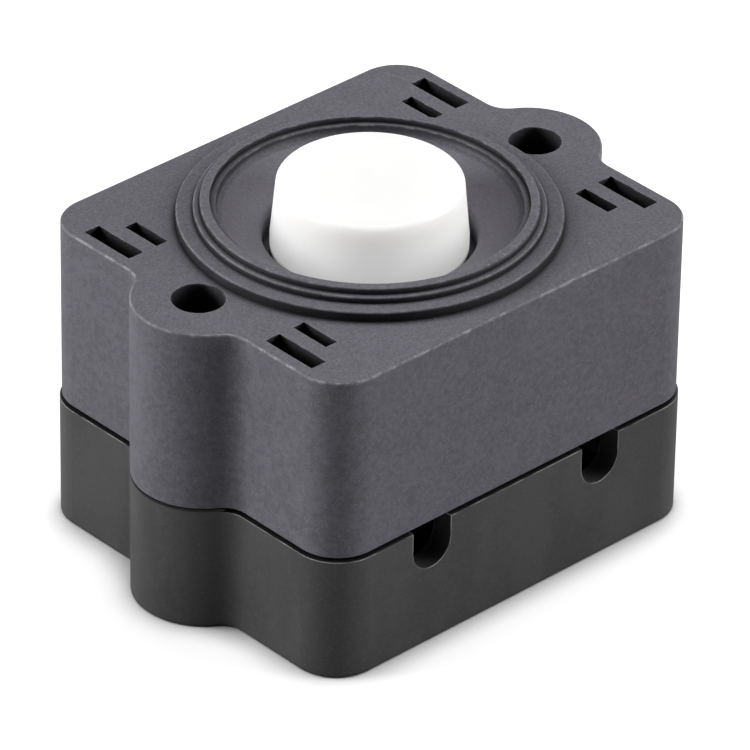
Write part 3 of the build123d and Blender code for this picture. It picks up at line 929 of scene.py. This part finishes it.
@dataclass
class SetScrew:
    """Set screw with a cut thread, broken ends and a hex socket that faces down.

    Attributes:
        tooth: corners of the thread's section, each with 0 for the root or 1 for the crest,
            and its height as a share of the pitch.
    """

    radius: float = 0.0025
    thread_depth: float = 0.0004
    pitch: float = 0.0008
    tooth: tuple[tuple[int, float], ...] = ((0, 0.0), (0, 0.12), (1, 0.47), (1, 0.6), (0, 0.95),
                                            (0, 1.0))
    low: float = 0.0016
    high: float = 0.0082
    lead: float = 1.5
    spare_turns: int = 2
    steps: int = 36
    weld: float = 1e-6
    end_taper: float = 0.0001
    socket_across: float = 0.0025
    socket_depth: float = 0.0024

    def thread(self) -> bmesh.types.BMesh:
        """Wind one tooth up the shank, longer than the screw at both ends.

        Returns:
            The open thread.
        """
        shape = bmesh.new()
        levels = (self.radius - self.thread_depth, self.radius)
        foot = self.low - self.lead * self.pitch
        tooth = [shape.verts.new((levels[level], 0.0, foot + share * self.pitch))
                 for level, share in self.tooth]
        chain = [shape.edges.new(pair) for pair in zip(tooth, tooth[1:])]
        turns = math.ceil((self.high - self.low) / self.pitch) + self.spare_turns
        climb(shape, tooth + chain, turns, self.pitch / self.steps, self.steps * turns)
        bmesh.ops.remove_doubles(shape, verts=shape.verts, dist=self.weld)
        return shape

    def break_ends(self, shape: bmesh.types.BMesh) -> None:
        """Draw the thread in towards both ends, as a cone would cut it."""
        for vert in shape.verts:
            inward = min(vert.co.z - self.low, self.high - vert.co.z)
            limit = self.radius - self.thread_depth - self.end_taper + max(0.0, inward)
            reach = vert.co.xy.length
            if reach > limit:
                vert.co.xy *= limit / reach

    def sink_socket(self, shape: bmesh.types.BMesh, rim: list[bmesh.types.BMEdge]) -> None:
        """Close the lower end round a hexagon and sink it.

        Args:
            shape: the screw.
            rim: edges round its lower end.
        """
        hexagon = ring(shape, 6, self.socket_across / math.sqrt(3.0), self.low)
        bmesh.ops.bridge_loops(shape, edges=rim + hexagon)
        raised = bmesh.ops.extrude_edge_only(shape, edges=hexagon)["geom"]
        bmesh.ops.translate(shape, verts=verts_of(raised), vec=(0.0, 0.0, self.socket_depth))
        bmesh.ops.edgeloop_fill(shape, edges=edges_of(raised))

    def build(self, material: bpy.types.Material) -> None:
        """Make the screw.

        Args:
            material: what it is made of.
        """
        shape = self.thread()
        crown = cut_off(shape, self.high, 1.0)
        rim = cut_off(shape, self.low, -1.0)
        self.break_ends(shape)
        bmesh.ops.edgeloop_fill(shape, edges=[edge for edge in crown if edge.is_valid])
        self.sink_socket(shape, rim)
        stand_in("set_screw_cut", shape, material, "adjusting_screw")


@dataclass
class KnurledInsert:
    """Brass insert with two knurled bands and a plain groove between them."""

    bore: float = 0.00255
    knurl_depth: float = 0.0002
    groove_depth: float = 0.0006
    groove_share: float = 0.2
    lead_in: float = 0.00035
    teeth: int = 40

    def raise_loop(self, shape: bmesh.types.BMesh, loop: list[bmesh.types.BMEdge], height: float,
                   radius: float, knurl: float) -> list[bmesh.types.BMEdge]:
        """Extrude a ring of edges to a new height and radius.

        Args:
            shape: the insert.
            loop: edges of the ring.
            height: where the new ring lies.
            radius: its radius.
            knurl: how deep every second point is pressed in.

        Returns:
            The new ring's edges.
        """
        made = bmesh.ops.extrude_edge_only(shape, edges=loop)["geom"]
        for vert in verts_of(made):
            turn = math.atan2(vert.co.y, vert.co.x) % FULL_TURN
            pressed = round(turn * self.teeth / math.pi) % 2 == 1
            reach = radius - knurl if pressed else radius
            vert.co = (reach * math.cos(turn), reach * math.sin(turn), height)
        return edges_of(made)

    def build(self, material: bpy.types.Material) -> None:
        """Make the insert.

        Args:
            material: what it is made of.
        """
        lowest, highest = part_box("threaded_insert")
        low, high, outer = lowest[2], highest[2], highest[0]
        inner, middle = outer - self.groove_depth, (low + high) / 2.0
        half = self.groove_share * (high - low) / 2.0
        profile = (
            (low + self.lead_in, outer, self.knurl_depth),
            (middle - half, outer, self.knurl_depth),
            (middle - half, inner, 0.0),
            (middle + half, inner, 0.0),
            (middle + half, outer, self.knurl_depth),
            (high - self.lead_in, outer, self.knurl_depth),
            (high, outer - self.lead_in, 0.0),
            (high, self.bore, 0.0),
            (low, self.bore, 0.0),
        )
        shape = bmesh.new()
        first = ring(shape, 2 * self.teeth, outer - self.lead_in, low)
        loop = first
        for height, radius, knurl in profile:
            loop = self.raise_loop(shape, loop, height, radius, knurl)
        bmesh.ops.bridge_loops(shape, edges=first + loop)
        stand_in("insert_knurled", shape, material, "threaded_insert")


@dataclass
class PressureSpring:
    """Coil spring with closed, ground ends.

    It is wound in two halves that meet at mid height, the upper one the lower one turned end over end.
    """

    wire: float = 0.0017
    mean_radius: float = 0.0051
    end_pitch: float = 0.00185
    end_turns: float = 1.0
    half_turns: float = 3.25
    wire_sides: int = 20
    steps: int = 40
    plunger_travel: float = 0.0015
    seat_travel: float = 0.0012

    def wind(self, shape: bmesh.types.BMesh, section: list, turns: float, rise: float) -> list:
        """Sweep the wire's section up along a helix.

        Args:
            shape: the spring so far.
            section: verts and edges that the sweep starts from.
            turns: how many turns it makes.
            rise: how far it climbs.

        Returns:
            The verts and edges at its end.
        """
        steps = round(turns * self.steps)
        return climb(shape, section, turns, rise / steps, steps)

    def close(self, shape: bmesh.types.BMesh, rim: list[bmesh.types.BMEdge]) -> None:
        """Close an open end with a flat face and a sharp rim.

        Args:
            shape: the spring.
            rim: edges around the opening.
        """
        for edge in rim:
            edge.smooth = False
        bmesh.ops.edgeloop_fill(shape, edges=rim)

    def half(self, low: float, middle: float) -> bmesh.types.BMesh:
        """Wind the lower half and grind its end flat.

        Args:
            low: height of the ground end.
            middle: height of the wire's centre where the halves meet.

        Returns:
            The lower half.
        """
        shape = bmesh.new()
        start = Matrix.Translation((self.mean_radius, 0.0, low))
        bmesh.ops.create_circle(shape, cap_ends=True, segments=self.wire_sides,
                                radius=self.wire / 2.0,
                                matrix=start @ Matrix.Rotation(math.pi / 2.0, 4, "X"))
        end_rise = self.end_turns * self.end_pitch
        section = shape.verts[:] + shape.edges[:]
        for turns, rise in ((self.end_turns, end_rise),
                            (self.half_turns - self.end_turns, middle - low - end_rise)):
            section = self.wind(shape, section, turns, rise)
        self.close(shape, edges_of(section))
        for face in shape.faces:
            face.smooth = len(face.verts) == 4
        self.close(shape, cut_off(shape, low, -1.0))
        return shape

    def build(self, material: bpy.types.Material) -> None:
        """Wind both halves.

        Args:
            material: what they are made of.
        """
        low, high = (corner[2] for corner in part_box("pressure_spring"))
        middle = (low + high) / 2.0
        halves = (
            ("pressure_spring_lower", "adjuster_lift", self.seat_travel, 0.0),
            ("pressure_spring_upper", "plunger_press", self.plunger_travel, math.pi),
        )
        for name, joint, travel, turned in halves:
            shape = self.half(low, middle)
            bmesh.ops.rotate(shape, cent=(0.0, 0.0, middle), verts=shape.verts,
                             matrix=Matrix.Rotation(turned, 3, "Y"))
            spring = stand_in(name, shape, material, "pressure_spring")
            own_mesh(spring)


@dataclass
class SpringSet:
    """The pressure spring with its cap, seat, set screw and insert."""

    spring_steel: WorkedMetal = WorkedMetal("spring_steel", (0.5, 0.5, 0.51), 0.3)
    plain_steel: WorkedMetal = WorkedMetal("plain_steel", (0.62, 0.62, 0.63), 0.32)
    black_steel: WorkedMetal = WorkedMetal("black_steel", (0.09, 0.09, 0.095), 0.42,
                                           film_amount=0.1)
    brass: WorkedMetal = WorkedMetal("insert_brass", (0.78, 0.6, 0.32), 0.3)

    def build(self) -> tuple[bpy.types.Material, bpy.types.Material, bpy.types.Material]:
        """Dress the spring set.

        Returns:
            The spring steel, plain steel and brass, for pieces made of the same.
        """
        spring_steel, plain_steel = self.spring_steel.make(), self.plain_steel.make()
        brass = self.brass.make()
        PressureSpring().build(spring_steel)
        dress("spring_cap", plain_steel)
        dress("spring_seat", plain_steel)
        SetScrew().build(self.black_steel.make())
        KnurledInsert().build(brass)
        return spring_steel, plain_steel, brass


def towards(azimuth: float, height: float) -> Vector:
    """Direction from the object to something that looks at it.

    Args:
        azimuth: angle seen from above, 0 at -Y and a quarter turn at +X.
        height: angle above the floor.

    Returns:
        The direction, with length 1.
    """
    level = math.cos(height)
    return Vector((math.sin(azimuth) * level, -math.cos(azimuth) * level, math.sin(height)))


@dataclass(frozen=True)
class Lamp:
    """A square soft lamp that looks at the object.

    Attributes:
        name: the lamp's name.
        azimuth: direction seen from above in degrees, 0 at -Y and 90 at +X.
        height: angle above the floor in degrees.
        watts: power.
        size: side of the square.
        reach: distance from the object.
    """

    name: str
    azimuth: float
    height: float
    watts: float
    size: float = 0.42
    reach: float = 0.9

    def hang(self) -> None:
        """Add the lamp to the scene."""
        aim = towards(math.radians(self.azimuth), math.radians(self.height))
        data = bpy.data.lights.new(self.name, "AREA")
        data.size = self.size
        data.energy = self.watts
        turn = aim.to_track_quat("Z", "Y").to_matrix().to_4x4()
        link_new(self.name, data).matrix_world = Matrix.Translation(aim * self.reach) @ turn


@dataclass
class Studio:
    """Pale floor, soft lamps and the camera at the photograph's angle."""

    azimuth: float = math.radians(-43.24)
    elevation: float = math.radians(32.61)
    roll: float = math.radians(1.0)
    focal_pixels: float = 7194.0
    frame_pixels: float = 750.0
    sensor: float = 36.0
    unit: float = 0.00072
    shift_right: float = -0.955
    shift_up: float = 19.018
    distance: float = 872.94
    plate_top: float = 0.0301
    lamps: tuple[Lamp, ...] = (Lamp("left_softbox", -132.0, 22.0, 8.7),
                               Lamp("right_softbox", 45.0, 22.0, 5.7),
                               Lamp("top_softbox", 112.0, 62.0, 4.4, size=0.7))
    air_light: float = 0.07
    air_seen: float = 1.0
    floor_half: float = 3.0
    floor_drop: float = 0.00005
    floor_glow: float = 0.75
    # reach and span of the painted contact shadow
    shadow_reach: float = 0.0045
    shadow_span: Span = (0.35, 0.98)

    def place_camera(self) -> None:
        """Make the camera and use it for the scene."""
        back = towards(self.azimuth, self.elevation)
        right = Vector((math.cos(self.azimuth), math.sin(self.azimuth), 0.0))
        up = back.cross(right)
        centre = self.unit * (-self.shift_right * right - self.shift_up * up
                              + self.distance * back)
        centre.z += self.plate_top
        turn = Matrix((right, up, back)).transposed().to_4x4()
        data = bpy.data.cameras.new("photo_camera")
        data.sensor_width = self.sensor
        data.lens = self.focal_pixels * self.sensor / self.frame_pixels
        camera = link_new("photo_camera", data)
        camera.matrix_world = (Matrix.Translation(centre) @ turn
                               @ Matrix.Rotation(self.roll, 4, "Z"))
        bpy.context.scene.camera = camera
        log.info("camera at %s", tuple(round(part, 4) for part in centre))

    def light(self) -> None:
        """Hang the lamps and set the world's even light, which is brighter where it is seen."""
        for lamp in self.lamps:
            lamp.hang()
        world = bpy.data.worlds.new("studio_air")
        bpy.context.scene.world = world
        world.use_nodes = True
        nodes, join = world.node_tree.nodes, world.node_tree.links.new
        nodes.clear()
        path = nodes.new("ShaderNodeLightPath")
        seen = nodes.new("ShaderNodeMath")
        seen.operation = "MAXIMUM"
        join(path.outputs["Is Camera Ray"], seen.inputs[0])
        join(path.outputs["Is Transmission Ray"], seen.inputs[1])
        strength = nodes.new("ShaderNodeMapRange")
        join(seen.outputs["Value"], strength.inputs["Value"])
        strength.inputs["To Min"].default_value = self.air_light
        strength.inputs["To Max"].default_value = self.air_seen
        air = nodes.new("ShaderNodeBackground")
        join(strength.outputs["Result"], air.inputs["Strength"])
        join(air.outputs["Background"], nodes.new("ShaderNodeOutputWorld").inputs["Surface"])

    def lay_floor(self) -> None:
        """Lay the pale floor, bright to the camera, with the lamps' shadow of the object and a painted shadow
        close to it.
        """
        mesh = bpy.data.meshes.new("floor")
        shape = bmesh.new()
        bmesh.ops.create_grid(shape, x_segments=2, y_segments=2, size=self.floor_half,
                              matrix=Matrix.Translation((0.0, 0.0, -self.floor_drop)))
        shape.to_mesh(mesh)
        shape.free()
        floor = link_new("floor", mesh)
        bench = NodeBench("pale_floor")
        path = bench.add("ShaderNodeLightPath")
        # painted shadow: the glow that keeps the floor white to the camera fades close to the object
        clear = bench.spread(bench.open_air(self.shadow_reach, WHOLE, own=False),
                             self.shadow_span, (0.0, self.floor_glow))
        glow = bench.times(path.outputs["Is Camera Ray"], clear)
        bench.set_shader(Base_Color=(0.5, 0.5, 0.5, 1.0), Roughness=0.9, Specular_IOR_Level=0.1,
                         Emission_Color=(1.0, 1.0, 1.0, 1.0), Emission_Strength=glow)
        mesh.materials.append(bench.material)

    def build(self) -> None:
        """Set up the studio."""
        self.place_camera()
        self.light()
        self.lay_floor()


def main() -> None:
    """Dress the switch and set up the studio."""
    logging.basicConfig(level=logging.INFO, format="%(message)s")
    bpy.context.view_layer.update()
    bpy.context.scene.view_settings.view_transform = "Standard"
    SwitchShell().build()
    steels = SpringSet().build()
    SwitchBlock().build(*steels)
    Studio().build()


if __name__ == "__main__":
    main()
